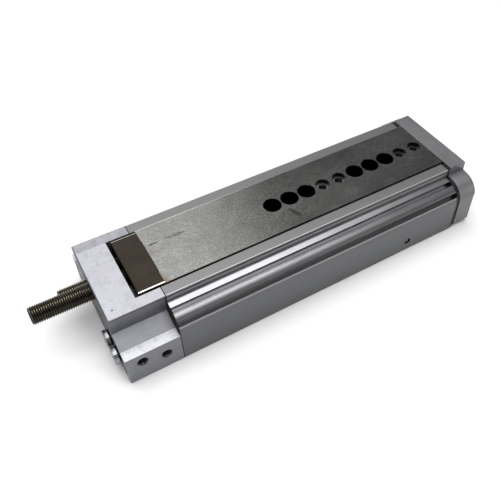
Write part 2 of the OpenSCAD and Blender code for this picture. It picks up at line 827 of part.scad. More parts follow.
module tail_plate() {
    shank_room = 0.3;
    color("saddlebrown") difference() {
        along_x(x_tail, x_slide) tail_outline();
        bar_x(x_tail - over, x_slide + over, advance_y, advance_z, shank_d + 2 * shank_room);
        for (side = [-1, 1]) {
            bar_x(x_tail, x_slide + over, side * tail_screw_y, fixing_z, m4_d + 2 * screw_play);
            bar_x(x_tail - over, x_m4_seat, side * tail_screw_y, fixing_z, m4_head_d + 2 * head_play);
        }
        edge_cut_y(x_tail, tail_z, tail_edge_h, tail_w + over);
    }
}

module tail_screws() {
    color("dimgray") for (side = [-1, 1])
        cap_screw_rear(x_m4_seat, side * tail_screw_y, fixing_z,
            m4_d, m4_head_d, m4_head_h, x_slide + tail_screw_l - over - x_m4_seat, 3);
}

module yoke_outline() {
    r = yoke_corner_r;
    w = yoke_w;
    intersection() {
        shouldered_outline(w, flange_w - yoke_top_less, slide_z, shoulder_r + (yoke_w - housing_w) / 2);
        union() {
            translate([-w / 2, yoke_under + r]) square([w, slide_z]);
            translate([-w / 2 + r, yoke_under]) square([w - 2 * r, r]);
            for (side = [-1, 1]) translate([side * (w / 2 - r), yoke_under + r]) circle(r = r);
        }
    }
}

module yoke_plate() {
    color("gray") difference() {
        along_x(x_yoke, x_tip) yoke_outline();
        for (side = [-1, 1]) {
            bar_x(x_yoke - over, x_tip + over, side * yoke_screw_y, fixing_z, m5_d + 2 * screw_play);
            bar_x(x_m5_seat, x_tip + over, side * yoke_screw_y, fixing_z, m5_head_d + 2 * head_play);
            bar_x(x_yoke - over, x_tip + over, side * dowel_y, fixing_z, dowel_d);
            edge_cut_z(x_tip, side * yoke_w / 2, yoke_chamfer, shoulder_z - shoulder_r);
            for (z = front_thread_z)
                bar_x(x_tip - front_thread_depth, x_tip + over, side * front_thread_y, z, m5_core_d);
        }
        bar_x(x_yoke - over, x_yoke + rod_tenon, bore_y, bore_z, rod_d + 2 * screw_play);
        bar_x(x_yoke - over, x_tip + over, bore_y, bore_z, m5_d + 2 * screw_play);
        bar_x(x_m5_seat, x_tip + over, bore_y, bore_z, m5_head_d + 2 * head_play);
        edge_cut_y(x_tip, slide_z, yoke_chamfer, yoke_w);
        edge_cut_y(x_tip, yoke_under, yoke_chamfer, yoke_w);
    }
}

module yoke_screws() {
    color("dimgray") for (side = [-1, 1])
        cap_screw_front(x_m5_seat, side * yoke_screw_y, fixing_z,
            m5_d, m5_head_d, m5_head_h, x_m5_seat - x_yoke + yoke_screw_l - over, 4);
}

module yoke_dowels() {
    color("silver") for (side = [-1, 1])
        bar_x(x_yoke - dowel_l + over, x_tip - over, side * dowel_y, fixing_z, dowel_d);
}

module piston_rod() {
    color("silver") difference() {
        union() {
            bar_x(x_piston_front, x_yoke + rod_tenon, bore_y, bore_z, rod_d);
            bar_x(x_piston - nut_h, x_piston_front, bore_y, bore_z, spigot_d);
        }
        bar_x(x_yoke + rod_tenon - rod_tapped, x_tip, bore_y, bore_z, m5_d);
    }
}

// The washer lies on the yoke's counterbore seat and the screw's head on the washer
module rod_screw_washer() {
    color("silver") difference() {
        bar_x(x_m5_seat, x_m5_seat + 2 * screw_play, bore_y, bore_z, m5_head_d);
        bar_x(x_m5_seat - over, x_m5_seat + over, bore_y, bore_z, m5_d + screw_play);
    }
}

module rod_screw() {
    seat_x = x_m5_seat + 2 * screw_play;
    thread_end = x_yoke + rod_tenon - rod_tapped + 2 * over;
    color("dimgray") cap_screw_front(seat_x, bore_y, bore_z,
        m5_d, m5_head_d, m5_head_h - 2 * screw_play, seat_x - thread_end, 4);
}

// Piston grooves along its length: [start as a distance from its rear face, width, depth]
seal_groove = [[2, 2.6, 2], [15.4, 2.6, 2]];
magnet_groove = [6.4, 3.6, 2.4];
guide_groove = [11.6, 2.4, 1.1];

// A ring that fills a piston groove, leaving play at its outer face
module piston_ring(groove, outer_play) {
    x0 = x_piston + groove[0];
    bar_d = bore_d - 2 * piston_play - 2 * groove[2];
    difference() {
        bar_x(x0, x0 + groove[1], bore_y, bore_z, bore_d - 2 * outer_play);
        bar_x(x0 - over, x0 + groove[1] + over, bore_y, bore_z, bar_d);
    }
}

module piston() {
    color("lightgray") difference() {
        bar_x(x_piston, x_piston_front, bore_y, bore_z, bore_d - 2 * piston_play);
        bar_x(x_piston - over, x_piston_front + over, bore_y, bore_z, spigot_d);
        for (groove = concat(seal_groove, [magnet_groove, guide_groove])) piston_ring(groove, -over);
    }
}

module piston_nut() {
    color("silver") difference() {
        hex_x(x_piston - nut_h, x_piston, bore_y, bore_z, nut_af);
        bar_x(x_piston - nut_h - over, x_piston + over, bore_y, bore_z, spigot_d);
    }
}

module piston_seals() {
    color("darkgreen") for (groove = seal_groove) piston_ring(groove, 0.04);
}

module piston_magnet() {
    color("black") piston_ring(magnet_groove, piston_play);
}

module piston_guide_ring() {
    color("tan") piston_ring(guide_groove, 0.06);
}

// Cage strip with one hole for each ball
module ball_cage(side) {
    pocket_play = 0.06;
    color("goldenrod") difference() {
        translate([x_cage, side * guide_y - cage_t / 2, ball_z - cage_h / 2])
            cube([cage_l, cage_t, cage_h]);
        for (i = [0 : ball_count - 1])
            translate([x_ball + i * ball_pitch, side * guide_y + cage_t, ball_z]) rotate([90, 0, 0])
                cylinder(d = ball_d + 2 * pocket_play, h = 2 * cage_t);
    }
}

module guide_balls(side) {
    color("silver") for (i = [0 : ball_count - 1])
        translate([x_ball + i * ball_pitch, side * guide_y, ball_z]) sphere(d = ball_d, $fn = 24);
}

// Chamfered threaded bar, drawn at its diameter over the thread
module stop_bar(x0, x1, y, z) {
    tip = 0.8;
    translate([x0, y, z]) rotate([0, 90, 0]) cylinder(d1 = stop_d - 2 * tip, d2 = stop_d, h = tip);
    bar_x(x0 + tip, x1, y, z, stop_d);
}

module retract_stop() {
    x0 = x_rear - retract_out;
    color("dimgray") difference() {
        stop_bar(x0, x_retract_end - bumper_t + bumper_seat, retract_y, retract_z);
        hex_x(x0 - over, x0 + socket_af, retract_y, retract_z, socket_af);
        bar_x(x_retract_end - bumper_t, x_retract_end, retract_y, retract_z, shank_d);
    }
}

module retract_bumper() {
    color("black") bar_x(x_retract_end - bumper_t, x_retract_end, retract_y, retract_z, shank_d);
}

module advance_stop() {
    x0 = x_rear - advance_out;
    color("dimgray") difference() {
        union() {
            stop_bar(x0, x_rear + advance_thread, advance_y, advance_z);
            bar_x(x_rear + advance_thread, x_advance_tip, advance_y, advance_z, shank_d);
        }
        hex_x(x0 - over, x0 + socket_af, advance_y, advance_z, socket_af);
    }
}

// Round head with a screwdriver slot, locked on the shank's front end
module advance_stop_head() {
    slot_w = 1.2;
    color("dimgray") difference() {
        bar_x(x_advance_head, x_advance_tip, advance_y, advance_z, head_d);
        bar_x(x_advance_head - over, x_advance_tip + over, advance_y, advance_z, shank_d);
        translate([x_advance_tip - slot_w, advance_y - head_d, advance_z - slot_w / 2])
            cube([slot_w + over, 2 * head_d, slot_w]);
    }
}

module advance_bumper() {
    color("black") difference() {
        bar_x(x_advance_contact, x_advance_head, advance_y, advance_z, head_d - 0.4);
        bar_x(x_advance_contact - over, x_advance_head + over, advance_y, advance_z, shank_d);
    }
}

housing();
end_block();
end_block_gasket();
end_block_screws();
raceway(-1);  // raceway_near
raceway(1);  // raceway_far
slot_strip(-1, slot_upper);  // slot_strip_near_upper
slot_strip(-1, slot_lower);  // slot_strip_near_lower
slot_strip(1, slot_upper);  // slot_strip_far_upper
slot_strip(1, slot_lower);  // slot_strip_far_lower
port_plugs();
port_plug_seals();
passage_ball();
stop_clamp_screws();
rear_bumper();
rod_gland();
gland_o_ring();
rod_seal();
gland_retaining_ring();
front_cover();
front_cover_screws();
slide_rail();
tail_plate();
tail_screws();
yoke_plate();
yoke_screws();
yoke_dowels();
piston_rod();
rod_screw();
rod_screw_washer();
piston();
piston_nut();
piston_seals();
piston_magnet();
piston_guide_ring();
ball_cage(-1);  // ball_cage_near
ball_cage(1);  // ball_cage_far
guide_balls(-1);  // balls_near
guide_balls(1);  // balls_far
retract_stop();
retract_bumper();
advance_stop();
advance_stop_head();
advance_bumper();
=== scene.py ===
import json
import math

import bpy
import numpy as np
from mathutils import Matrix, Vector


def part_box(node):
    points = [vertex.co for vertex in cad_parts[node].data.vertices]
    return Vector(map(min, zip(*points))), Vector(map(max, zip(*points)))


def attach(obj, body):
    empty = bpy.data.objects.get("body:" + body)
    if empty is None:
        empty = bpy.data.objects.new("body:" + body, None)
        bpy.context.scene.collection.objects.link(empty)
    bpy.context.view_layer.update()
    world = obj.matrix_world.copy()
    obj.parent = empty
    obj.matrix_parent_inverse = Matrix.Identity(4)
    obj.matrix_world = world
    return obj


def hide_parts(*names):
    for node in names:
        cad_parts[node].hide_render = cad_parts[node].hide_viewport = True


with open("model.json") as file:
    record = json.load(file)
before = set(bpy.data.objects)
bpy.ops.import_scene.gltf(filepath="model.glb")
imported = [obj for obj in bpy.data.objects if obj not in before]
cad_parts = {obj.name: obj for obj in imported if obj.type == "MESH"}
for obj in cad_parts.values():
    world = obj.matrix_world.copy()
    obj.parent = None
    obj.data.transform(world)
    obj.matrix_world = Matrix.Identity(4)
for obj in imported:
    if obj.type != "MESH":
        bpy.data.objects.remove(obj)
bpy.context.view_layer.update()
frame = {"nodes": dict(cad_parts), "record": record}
NODES = frame["nodes"]
MM = 0.001


# ---------------------------------------------------------------- values from the frame

def span(name):
    """Lowest and highest corner of a CAD node at rest, in millimetres."""
    low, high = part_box(name)
    return np.array(low) / MM, np.array(high) / MM


BLOCK = span("end_block")
HOUSING = span("housing")
SLIDE = span("slide_rail")
YOKE = span("yoke_plate")
TAIL = span("tail_plate")
RETRACT = span("retract_stop")
BALL = span("passage_ball")
PLUGS = span("port_plugs")
MOUNTS = {m["name"]: np.array(m["pos_m"]) / MM for m in frame["record"]["mounts"]}

# Sizes in millimetres that no box of a node gives.
SIDE_PLAY = 0.35            # between the slide and each flange
FLANGE_W = 5.6              # width of each flange's level face
SIDE_TOP = 23.0             # where the flat side turns into the shoulder
RIB_W = 2.9                 # width of the crowned rib beside a flange
RIB_FOOT = 28.1             # height above which the crown lies
CHANNEL_SHADE_TOP = 24.0           # height up to which the channel is laid dark as painted shade
LEDGE_Z = 18.0              # level of the end block's side ledges
STRIP_SPLIT = 26.0          # between the upper and lower slot strips
CENTRING_H = 2.1            # depth of the slide's centring recesses
M5_CORE_R = 2.1             # radius of a drilled M5 hole
M5_MOUTH_R = 2.7            # radius of a port's countersunk mouth
YOKE_THREAD_Y = 25.0        # how far the yoke's threads lie from the middle
YOKE_THREAD_Z = 7.0, 19.0   # their two levels
SEAL_T = 0.6                # thickness of the blanking plugs' seals
PLUG_STEM_R = 2.05          # radius of the blanking plugs' stems
FLANGE_Z = HOUSING[1][2]
GROOVE_Z = FLANGE_Z - 1.4   # the upper of the two grooves along each flange's side
SLIDE_TOP = SLIDE[1][2]
SLIDE_SIDE = SLIDE[1][1]
FLANGE_EDGE = SLIDE_SIDE + SIDE_PLAY + FLANGE_W
PLUG_R = (PLUGS[1][2] - PLUGS[0][2]) / 2
PLUG_Z = (PLUGS[1][2] + PLUGS[0][2]) / 2


# ---------------------------------------------------------------- shapes

def grid_mesh(name, points, body, material):
    """A piece from a grid of points, rows by columns, in millimetres: each cell of the grid is one face, and
    the columns join up round the shape. A row of equal points is a pole and is merged to one point."""
    rows, columns = points.shape[:2]
    index = np.arange(rows * columns).reshape(rows, columns)
    pole = np.ptp(points, axis=1).max(axis=1) < 1e-9
    index[pole] = index[pole][:, :1]
    after = np.roll(index, -1, axis=1)
    faces = np.stack([index[:-1], after[:-1], after[1:], index[1:]], axis=-1).reshape(-1, 4)
    used, flat = np.unique(faces, return_inverse=True)
    faces = flat.reshape(-1, 4)
    corners = [list(dict.fromkeys(f)) for f in faces.tolist()]
    mesh = bpy.data.meshes.new(name)
    spots = (points.reshape(-1, 3)[used] * MM).tolist()
    mesh.from_pydata(spots, [], [c for c in corners if len(c) > 2])
    mesh.update()
    piece = bpy.data.objects.new(name, mesh)
    bpy.context.scene.collection.objects.link(piece)
    piece.data.materials.append(material)
    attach(piece, body)
    return piece


def shade_smooth(piece, degrees):
    """Smooth shading where neighbouring faces meet at less than the angle, and a sharp edge elsewhere."""
    bpy.context.view_layer.objects.active = piece
    piece.select_set(True)
    bpy.ops.object.shade_smooth_by_angle(angle=math.radians(degrees))
    piece.select_set(False)


def turned(centre, axis, along, radius):
    """Points of a turned shape: row i lies at distance along[i] down the axis through centre, and its column
    j lies at radius[i, j] from the axis, at an angle that goes once round in equal steps."""
    angle = np.linspace(0, 2 * np.pi, radius.shape[1], endpoint=False)
    axis = np.array(axis, float)
    side = np.array([0.0, 1.0, 0.0]) if abs(axis[1]) < 0.5 else np.array([0.0, 0.0, 1.0])
    other = np.cross(axis, side)
    ring = np.cos(angle)[:, None] * side + np.sin(angle)[:, None] * other
    return np.array(centre) + np.asarray(along)[:, None, None] * axis + radius[:, :, None] * ring


def hexagon(across_flats, columns):
    """Distance from the axis to a hexagon's side at each angle: half the width across flats over the cosine
    of the angle from the nearest flat's middle."""
    angle = np.linspace(0, 2 * np.pi, columns, endpoint=False)
    off = (angle + np.pi / 6) % (np.pi / 3) - np.pi / 6
    return across_flats / 2 / np.cos(off)


def thread_radius(x, columns, major, pitch, depth):
    """Radius of a right-hand vee thread: at each place along it and angle round it, the fraction of a turn
    from the nearest crest gives a triangle wave, whose top is cut to a crest of an eighth of the pitch and
    whose bottom is cut to a root of a quarter."""
    turn = np.linspace(0, 1, columns, endpoint=False)
    phase = (x[:, None] / pitch - turn[None, :]) % 1.0
    wave = np.abs(2 * phase - 1)
    flank = np.clip((wave - 0.25) / (1 - 0.25 - 0.125), 0, 1)
    return major - depth * (1 - flank)


def stop_screw(name, node, body, material, thread_end, shank_r, pitch=1.0, depth=0.55, socket=4.0, tip=0.8):
    """Adjusting screw: a hexagonal socket, a chamfered threaded bar from its rear end to thread_end, and a
    plain shank or a chamfered tip after that. The radius at each place is the least of the thread and the
    chamfers. The point attribute crest says how near a point lies to the thread's crest, from 0 to 1."""
    low, high = span(node)
    centre_y, centre_z = (low[1:] + high[1:]) / 2
    major = (high[1] - low[1]) / 2
    columns = 96
    one = np.ones(columns)
    x = np.arange(low[0], thread_end + 1e-6, pitch / 8)
    lead_in = np.minimum(major - tip + (x - low[0]), major)[:, None]
    bar = np.minimum(thread_radius(x, columns, major, pitch, depth), lead_in)
    if shank_r is None:
        lead_out = np.minimum(major - 0.5 * tip + (thread_end - x), major)[:, None]
        bar = np.minimum(bar, lead_out)
        rest_x = [thread_end]
        rest_r = [0 * one]
    else:
        rest_x = [thread_end, high[0], high[0]]
        rest_r = [shank_r * one, shank_r * one, 0 * one]
    hole = hexagon(socket, columns)
    along = np.concatenate([[low[0] + socket, low[0] + socket, low[0] + 0.2, low[0]], x, rest_x])
    radius = np.vstack([0 * one, hole, hole, hole + 0.2, bar, *rest_r])
    piece = grid_mesh(name, turned([0, centre_y, centre_z], (1, 0, 0), along, radius), body, material)
    shade_smooth(piece, 35)
    spots = np.empty(3 * len(piece.data.vertices))
    piece.data.vertices.foreach_get("co", spots)
    spots = spots.reshape(-1, 3) / MM
    reach = np.hypot(spots[:, 1] - centre_y, spots[:, 2] - centre_z)
    crest = piece.data.attributes.new("crest", "FLOAT", "POINT")
    crest.data.foreach_set("value", np.clip((reach - major + 0.3) / 0.25, 0, 1))
    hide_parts(node)


def blanking_plug(name, centre_y, material):
    """Blanking plug, turned about X: hexagonal socket, domed and knurled head, undercut and plain stem. The
    knurl is a cosine wave of 32 teeth round the head's side, faded out towards both of the side's edges."""
    columns = 192
    one = np.ones(columns)
    angle = np.linspace(0, 2 * np.pi, columns, endpoint=False)
    teeth = 0.05 * (0.5 - 0.5 * np.cos(32 * angle))
    hole = hexagon(2.5, columns)
    top = PLUGS[0][0]
    under = BLOCK[0][0] - SEAL_T
    tip = PLUGS[1][0]
    profile = [
        (top + 1.4, 0 * one), (top + 1.4, hole), (top + 0.15, hole), (top, hole + 0.15),
        (top, (PLUG_R - 0.75) * one), (top + 0.08, (PLUG_R - 0.4) * one),
        (top + 0.3, (PLUG_R - 0.12) * one), (top + 0.45, PLUG_R * one - 0.5 * teeth),
        (top + 0.55, PLUG_R * one - teeth), (under - 0.3, PLUG_R * one - teeth),
        (under - 0.2, PLUG_R * one - 0.5 * teeth), (under, (PLUG_R - 0.2) * one),
        (under, PLUG_STEM_R * one), (tip, PLUG_STEM_R * one), (tip, 0 * one),
    ]
    along = np.array([x for x, _ in profile])
    radius = np.vstack([r for _, r in profile])
    piece = grid_mesh(name, turned([0, centre_y, PLUG_Z], (1, 0, 0), along, radius), "base", material)
    shade_smooth(piece, 30)
    return piece


def thread_lining(name, mouth, inward, depth, body, material, pitch=0.8, height=0.16):
    """The ridges of a tapped M5 hole: a closed sleeve just inside the drilled wall, whose inner radius
    follows a vee thread with its crests towards the axis, and whose first turn fades in from the mouth."""
    columns = 48
    along = np.arange(0.15, depth, pitch / 8)
    fade = np.clip(along / (0.8 * pitch), 0, 1)[:, None]
    ridge = thread_radius(along, columns, height, pitch, height) * fade
    outer = np.full((len(along), columns), M5_CORE_R - 0.01)
    inner = outer - 0.02 - ridge
    points = turned(mouth, inward, np.concatenate([along, along[::-1], along[:1]]),
                    np.vstack([inner, outer[::-1], inner[:1]]))
    piece = grid_mesh(name, points, body, material)
    shade_smooth(piece, 50)


# ---------------------------------------------------------------- materials

def linear(hex_colour):
    """The linear colour of an sRGB hex value, with full opacity."""
    srgb = np.array([int(hex_colour[i:i + 2], 16) for i in (1, 3, 5)]) / 255
    rgb = np.where(srgb <= 0.04045, srgb / 12.92, ((srgb + 0.055) / 1.055) ** 2.4)
    return (*rgb.tolist(), 1.0)


def add(tree, kind, inputs=None, **settings):
    """One shader node of that kind: settings are its attributes, and inputs are values to set or sockets to
    link."""
    made = tree.nodes.new("ShaderNode" + kind)
    for name, value in settings.items():
        setattr(made, name, value)
    for socket, value in (inputs or {}).items():
        if isinstance(value, bpy.types.NodeSocket):
            tree.links.new(value, made.inputs[socket])
        else:
            made.inputs[socket].default_value = value
    return made


def begin(name, metallic, colour, roughness):
    """A new material, its shader, and the place on the piece in metres that its patterns read."""
    material = bpy.data.materials.new(name)
    material.use_nodes = True
    tree = material.node_tree
    tree.nodes.clear()
    shader = add(tree, "BsdfPrincipled", {"Metallic": metallic, "Base Color": linear(colour),
                                          "Roughness": roughness})
    add(tree, "OutputMaterial", {"Surface": shader.outputs[0]})
    return material, tree, shader, add(tree, "TexCoord").outputs["Object"]


def in_mm(tree, place):
    """X, Y and Z of the place, in millimetres."""
    scaled = add(tree, "VectorMath", {0: place, "Scale": 1 / MM}, operation="SCALE").outputs[0]
    return tuple(add(tree, "SeparateXYZ", {0: scaled}).outputs)


def facing(tree, normal="True Normal"):
    """X, Y and Z of the direction in which the face looks."""
    direction = add(tree, "NewGeometry").outputs[normal]
    return tuple(add(tree, "SeparateXYZ", {0: direction}).outputs)


def from_axis(tree, place, x_mm, z_mm):
    """Distance in millimetres from a line along Y through x and z."""
    spot = add(tree, "Mapping", {"Vector": place, "Location": (-x_mm, 0, -z_mm),
                                 "Scale": (1 / MM, 0, 1 / MM)})
    return add(tree, "VectorMath", {0: spot.outputs[0]}, operation="LENGTH").outputs["Value"]


def pattern(tree, place, size_mm, detail=2.0, roughness=0.5):
    """Value noise from 0 to 1 whose grains are size_mm long, wide and high."""
    spot = add(tree, "Mapping", {"Vector": place, "Scale": tuple(1 / (s * MM) for s in size_mm)})
    return add(tree, "TexNoise", {"Vector": spot.outputs[0], "Scale": 1.0, "Detail": detail,
                                  "Roughness": roughness}).outputs["Fac"]


def mask(tree, most, *slopes):
    """An amount up to most: most times the product of the slopes. A slope is a value and two numbers between
    which it goes evenly from 0 to 1, with 0 before the first and 1 past the second, which may be the lower.
    An optional fourth number stands in for the 0."""
    amount = most
    for value, none, full, *least in slopes:
        slope = add(tree, "MapRange", {"Value": value, "From Min": none, "From Max": full,
                                       "To Min": least[0] if least else 0.0}).outputs[0]
        amount = add(tree, "Math", {0: slope, 1: amount}, operation="MULTIPLY").outputs[0]
    return amount


def band(value, centre, half, soft):
    """Two slopes that together are 1 within half of the centre, to either side, and fade to 0 over soft."""
    return (value, centre - half - soft, centre - half), (value, centre + half + soft, centre + half)


def blot(tree, place, centre_mm, radii_mm, turn=0.0):
    """1 at the centre of an oval mark, falling to 0 at its rim; the oval is turned about Z."""
    oval = add(tree, "Mapping", {"Vector": place, "Location": tuple(c * MM for c in centre_mm),
                                 "Rotation": (0, 0, turn), "Scale": tuple(r * MM for r in radii_mm)},
               vector_type="TEXTURE")
    length = add(tree, "VectorMath", {0: oval.outputs[0]}, operation="LENGTH").outputs["Value"]
    return mask(tree, 1.0, (length, 1.0, 0.2))


def lay(tree, shader, colour, most, *slopes):
    """Lays a colour over the shader's colour so far, by the mask that most and the slopes give."""
    base = shader.inputs["Base Color"]
    so_far = base.links[0].from_socket if base.is_linked else tuple(base.default_value)
    mixed = add(tree, "Mix", {"Factor": mask(tree, most, *slopes), 6: so_far, 7: linear(colour)},
                data_type="RGBA")
    tree.links.new(mixed.outputs[2], base)


def sway(tree, shader, value, roughness, spread):
    """Lets a pattern's middle range, 0.3 to 0.7, sway the roughness by spread to either side."""
    swayed = add(tree, "MapRange", {"Value": value, "From Min": 0.3, "From Max": 0.7,
                                    "To Min": roughness - spread, "To Max": roughness + spread})
    tree.links.new(swayed.outputs[0], shader.inputs["Roughness"])


def relief(tree, shader, height, depth_mm, edge_mm=0.0):
    """Turns a height pattern into bumps, over edges that the light takes as rounded by edge_mm."""
    bump = add(tree, "Bump", {"Height": height, "Distance": depth_mm * MM, "Strength": 1.0})
    if edge_mm:
        edge = add(tree, "Bevel", {"Radius": edge_mm * MM}, samples=4)
        tree.links.new(edge.outputs[0], bump.inputs["Normal"])
    tree.links.new(bump.outputs[0], shader.inputs["Normal"])


def swell(tree, shader, height, depth_mm):
    """Bends the light over a broad form that lies beneath the fine relief."""
    fine = shader.inputs["Normal"].links[0].from_node
    broad = add(tree, "Bump", {"Height": height, "Distance": depth_mm * MM, "Strength": 1.0,
                               "Normal": fine.inputs["Normal"].links[0].from_socket})
    tree.links.new(broad.outputs[0], fine.inputs["Normal"])


def roughen(tree, shader, more):
    """Adds an amount to the roughness so far."""
    so_far = shader.inputs["Roughness"].links[0].from_socket
    summed = add(tree, "Math", {0: so_far, 1: more}, operation="ADD").outputs[0]
    tree.links.new(summed, shader.inputs["Roughness"])


def aluminium(name, light, dark, roughness, line_mm, line_depth, sheen=1.0):
    """Aluminium, pressed or milled and then natural anodised: a satin sheen whose fine lines follow line_mm,
    with soft clouds of tone where the oxide is a little thicker. A sheen below 1 leaves the rest to the
    oxide's own dull grey."""
    material, tree, shader, place = begin(name, sheen, dark, roughness)
    lines = pattern(tree, place, line_mm, detail=3.0)
    cloud = pattern(tree, place, (22, 14, 14), detail=3.0)
    tone = add(tree, "Math", {0: lines, 1: cloud}, operation="ADD").outputs[0]
    lay(tree, shader, light, 1.0, (tone, 0.75, 1.25))
    sway(tree, shader, lines, roughness, 0.05)
    relief(tree, shader, lines, line_depth, 0.3)
    return material, tree, shader, place


def steel(name, light, dark, roughness, line_mm, line_depth, cloud_mm=(9, 9, 9), edge_mm=0.2, spread=0.05):
    """Steel with the marks of its last tool: lines along line_mm, tone clouds of handling that also sway its
    roughness by spread, and a glint on its edges."""
    material, tree, shader, place = begin(name, 1.0, dark, roughness)
    lines = pattern(tree, place, line_mm, detail=3.0, roughness=0.6)
    cloud = pattern(tree, place, cloud_mm, detail=2.0)
    tone = add(tree, "Math", {0: lines, 1: cloud}, operation="ADD").outputs[0]
    lay(tree, shader, light, 1.0, (tone, 0.7, 1.3))
    sway(tree, shader, cloud, roughness, spread)
    relief(tree, shader, lines, line_depth, edge_mm)
    return material, tree, shader, place


def moulded(name, light, dark, roughness, grain_mm, grain_depth, specular=0.5):
    """Rubber or plastic as it left the mould: a dull skin with a fine even grain and a faint bloom in its
    tone."""
    material, tree, shader, place = begin(name, 0.0, dark, roughness)
    shader.inputs["Specular IOR Level"].default_value = specular
    grain = pattern(tree, place, (grain_mm,) * 3, detail=2.0)
    bloom = pattern(tree, place, (6, 6, 6), detail=3.0)
    lay(tree, shader, light, 1.0, (bloom, 0.35, 0.7))
    sway(tree, shader, grain, roughness, 0.06)
    relief(tree, shader, grain, grain_depth)
    return material


# Die lines, feed lines, grinding marks and mould grain are a tenth of a millimetre or finer on such surfaces.
# Here they are 0.4 to 0.9 mm wide, as coarse as they need to be to show.
#
# Faces of one metal differ in tone by the way they look: upright and rear faces are laid darker than level ones.
# That is matched. Part of it is shade that soft lamps don't give, and isn't the metal's own colour.

# Extruded aluminium, natural anodised: the die's fine lines run its whole length and stretch every highlight.
extrusion, tree, shader, place = aluminium("anodised_aluminium_extrusion", "#a3a3a4", "#98989a", 0.32,
                                           (90, 0.5, 0.5), 0.004)
x, y, z = in_mm(tree, place)
_, face_y, face_z = facing(tree)
aside = add(tree, "Math", {0: y}, operation="ABSOLUTE").outputs[0]
sideways = add(tree, "Math", {0: face_y}, operation="ABSOLUTE").outputs[0]
# The flat sides are laid darker than the rest: painted shade.
lay(tree, shader, "#5c5d5e", 0.9, (sideways, 0.92, 0.96), (z, SIDE_TOP + 0.2, SIDE_TOP - 0.2))
# Lines along each flange's side: painted shade in the two grooves, and a painted highlight on the ridge between
# them.
for line_z, half, colour in ((GROOVE_Z, 0.3, "#55565a"), (FLANGE_Z - 2.5, 0.35, "#dcdce0"),
                             (FLANGE_Z - 4.2, 0.4, "#4a4b4f")):
    lay(tree, shader, colour, 0.8, (sideways, 0.8, 0.9), *band(z, line_z, 0.6 * half, 0.4 * half))
# The level faces are duller than the ribs beside them, and laid darker as painted shade.
level_top = (face_z, 0.9, 0.98), (z, FLANGE_Z - 1.0, FLANGE_Z - 0.5)
roughen(tree, shader, mask(tree, 0.16, *level_top))
lay(tree, shader, "#8c8c8c", 0.9, *level_top)
# A painted highlight along each flange's outer edge.
lay(tree, shader, "#e8e8ea", 0.9, *level_top, (aside, FLANGE_EDGE - 0.4, FLANGE_EDGE - 0.3))
# The front edge is laid nearly black: painted shade in the gap before the yoke.
lay(tree, shader, "#161617", 0.95, (x, HOUSING[1][0] - 0.7, HOUSING[1][0] - 0.5))
# The closed mouth of the cross passage: a dark ring round the pressed-in ball, on the near side, as painted
# shade in the gap round it.
ball_x, _, ball_z = (BALL[0] + BALL[1]) / 2
reach = from_axis(tree, place, ball_x, ball_z)
lay(tree, shader, "#0b0b0c", 1.0, *band(reach, 1.65, 0.2, 0.15),
    (y, HOUSING[0][1] + 3.4, HOUSING[0][1] + 2.4))
# The channel under the slide is laid nearly black: painted shade under the slide.
lay(tree, shader, "#151516", 0.92, (aside, SLIDE_SIDE - 0.1, SLIDE_SIDE - 0.7), (z, 1.0, 2.0),
    (z, CHANNEL_SHADE_TOP + 0.5, CHANNEL_SHADE_TOP - 0.5))
# The light takes each rib beside a flange as rising towards it. The form itself is flatter than that.
rib_y = FLANGE_EDGE + 0.05
crown = mask(tree, 1.0, (aside, rib_y + RIB_W, rib_y), (z, RIB_FOOT - 0.1, RIB_FOOT + 0.1))
swell(tree, shader, crown, 0.85)

# Milled aluminium, fine blasted and anodised: pale and even, with the faint feed lines of the last pass.
milled, tree, shader, place = aluminium("anodised_aluminium_milled", "#c5c5cb", "#bbbac1", 0.50,
                                        (9, 0.7, 0.7), 0.004, sheen=0.7)
_, y, z = in_mm(tree, place)
face_x, _, face_z = facing(tree)
# Its upright walls are laid darker than the level faces, and its slopes lie between: painted shade.
lay(tree, shader, "#797a7f", 0.95, (face_z, 0.97, 0.75))
lay(tree, shader, "#5a5c62", 0.6, (face_z, 0.3, 0.6), (face_z, 0.97, 0.92))
# The rear face is laid darkest: painted shade.
lay(tree, shader, "#303134", 0.9, (face_x, -0.9, -0.98))
# The mouths of the two air ports, on the near side, are laid dark: painted shade. An old dent is on the top.
for port in ("rear_side_port", "front_side_port"):
    reach = from_axis(tree, place, MOUNTS[port][0], MOUNTS[port][2])
    lay(tree, shader, "#232428", 0.85, (reach, M5_MOUTH_R + 0.1, M5_MOUTH_R - 0.2),
        (y, BLOCK[0][1] + 5.4, BLOCK[0][1] + 4.4))
dent = blot(tree, place, (BLOCK[0][0] + 3.6, -19.8, BLOCK[1][2]), (0.7, 0.55, 1.0))
lay(tree, shader, "#4a3c3c", 1.0, (dent, 0.0, 0.8))
# The side ledges are laid paler still, as painted light.
lay(tree, shader, "#e4e4ea", 1.0, (face_z, 0.95, 0.98), (z, LEDGE_Z + 1.5, LEDGE_Z + 0.5))
# Handling specks and mottling, and a darker strip along the far edge.
specks = pattern(tree, place, (0.9, 0.9, 0.9), detail=1.0)
lay(tree, shader, "#77777b", 0.5, (specks, 0.70, 0.78))
mottle = pattern(tree, place, (2.5, 4.0, 3.0), detail=4.0, roughness=0.7)
lay(tree, shader, "#8e8e93", 0.45, (mottle, 0.48, 0.75))
lay(tree, shader, "#83838a", 0.55, (y, SLIDE_SIDE + 0.1, SLIDE_SIDE + 0.5), (mottle, 0.3, 0.6, 0.25 / 0.55))
# A dark line runs on from the housing's upper groove: painted shade along the block's groove.
lay(tree, shader, "#35363a", 0.8, (face_z, 0.8, 0.5), *band(z, GROOVE_Z, 0.2, 0.15))

